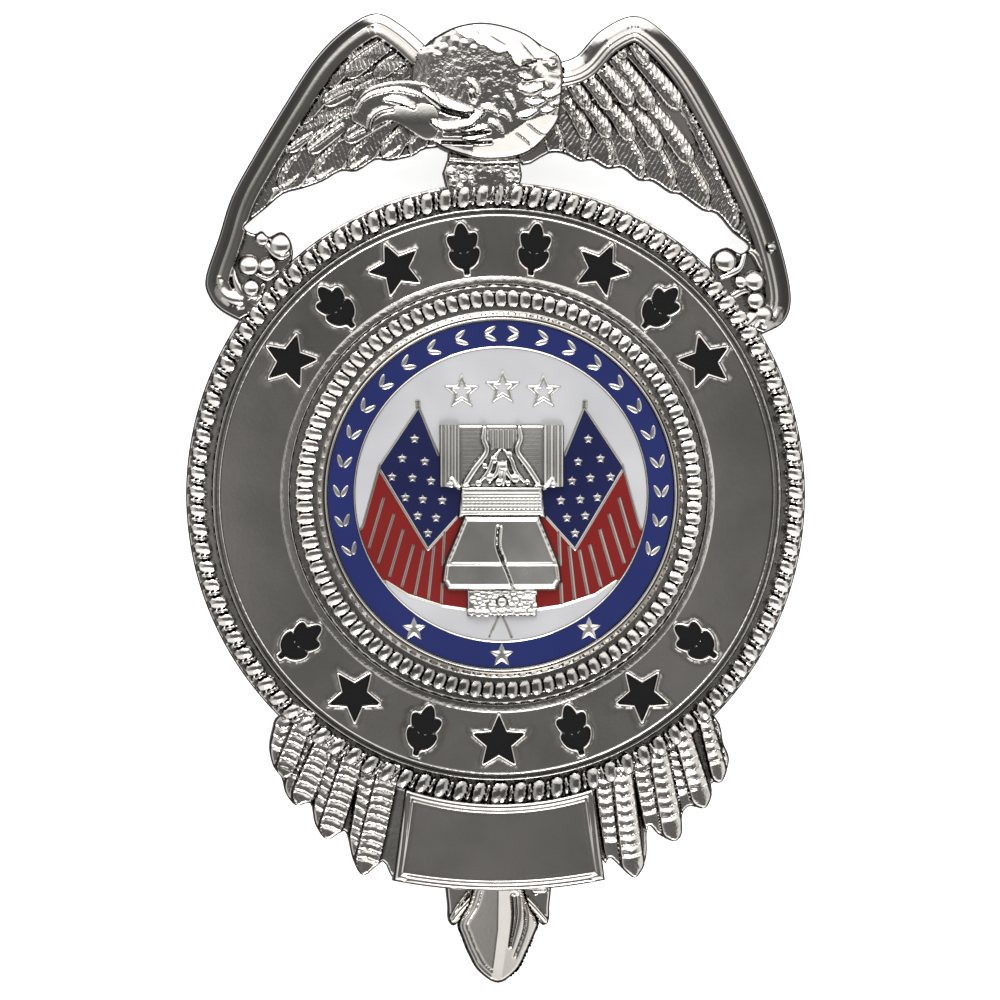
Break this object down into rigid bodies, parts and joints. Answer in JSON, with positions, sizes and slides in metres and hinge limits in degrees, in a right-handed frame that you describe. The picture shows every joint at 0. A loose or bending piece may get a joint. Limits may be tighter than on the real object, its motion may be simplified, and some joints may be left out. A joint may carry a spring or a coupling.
{
  "type": "round security badge",
  "caption": "Round pinned security badge: rope-edged nickel medallion with enamelled centre seal, eagle on top, feather sprays and a blank panel below, brooch pin behind.",
  "frame": {"origin": "centre of the bounding box on the surface that the badge lies on, face up", "axes": "+Y towards the eagle, +Z out of the face, +X to the right as the face is read"},
  "size_m": [0.061, 0.0948, 0.0085],
  "materials": {
    "nickel_body": "polished nickel, darkened in the recesses",
    "nickel_seal": "polished nickel",
    "black_enamel": "gloss black enamel",
    "blue_enamel": "gloss navy enamel",
    "canton_enamel": "gloss dark navy enamel",
    "white_enamel": "gloss white enamel",
    "red_enamel": "gloss red enamel",
    "pin_steel": "plain steel"
  },
  "bodies": {
    "root": {"badge_body": "nickel_body", "mark_enamel_1": "black_enamel", "mark_enamel_2": "black_enamel", "mark_enamel_3": "black_enamel", "mark_enamel_4": "black_enamel", "mark_enamel_5": "black_enamel", "mark_enamel_6": "black_enamel", "mark_enamel_7": "black_enamel", "mark_enamel_8": "black_enamel", "mark_enamel_9": "black_enamel", "mark_enamel_10": "black_enamel", "mark_enamel_11": "black_enamel", "mark_enamel_12": "black_enamel", "mark_enamel_13": "black_enamel", "mark_enamel_14": "black_enamel", "mark_enamel_15": "black_enamel", "seal_metal": "nickel_seal", "enamel_blue_ring": "blue_enamel", "enamel_white_upper": "white_enamel", "enamel_white_lower": "white_enamel", "enamel_canton_left": "canton_enamel", "enamel_canton_right": "canton_enamel", "enamel_stripes_left": "red_enamel", "enamel_stripes_right": "red_enamel", "pin_back": "pin_steel"}
  },
  "joints": []
}
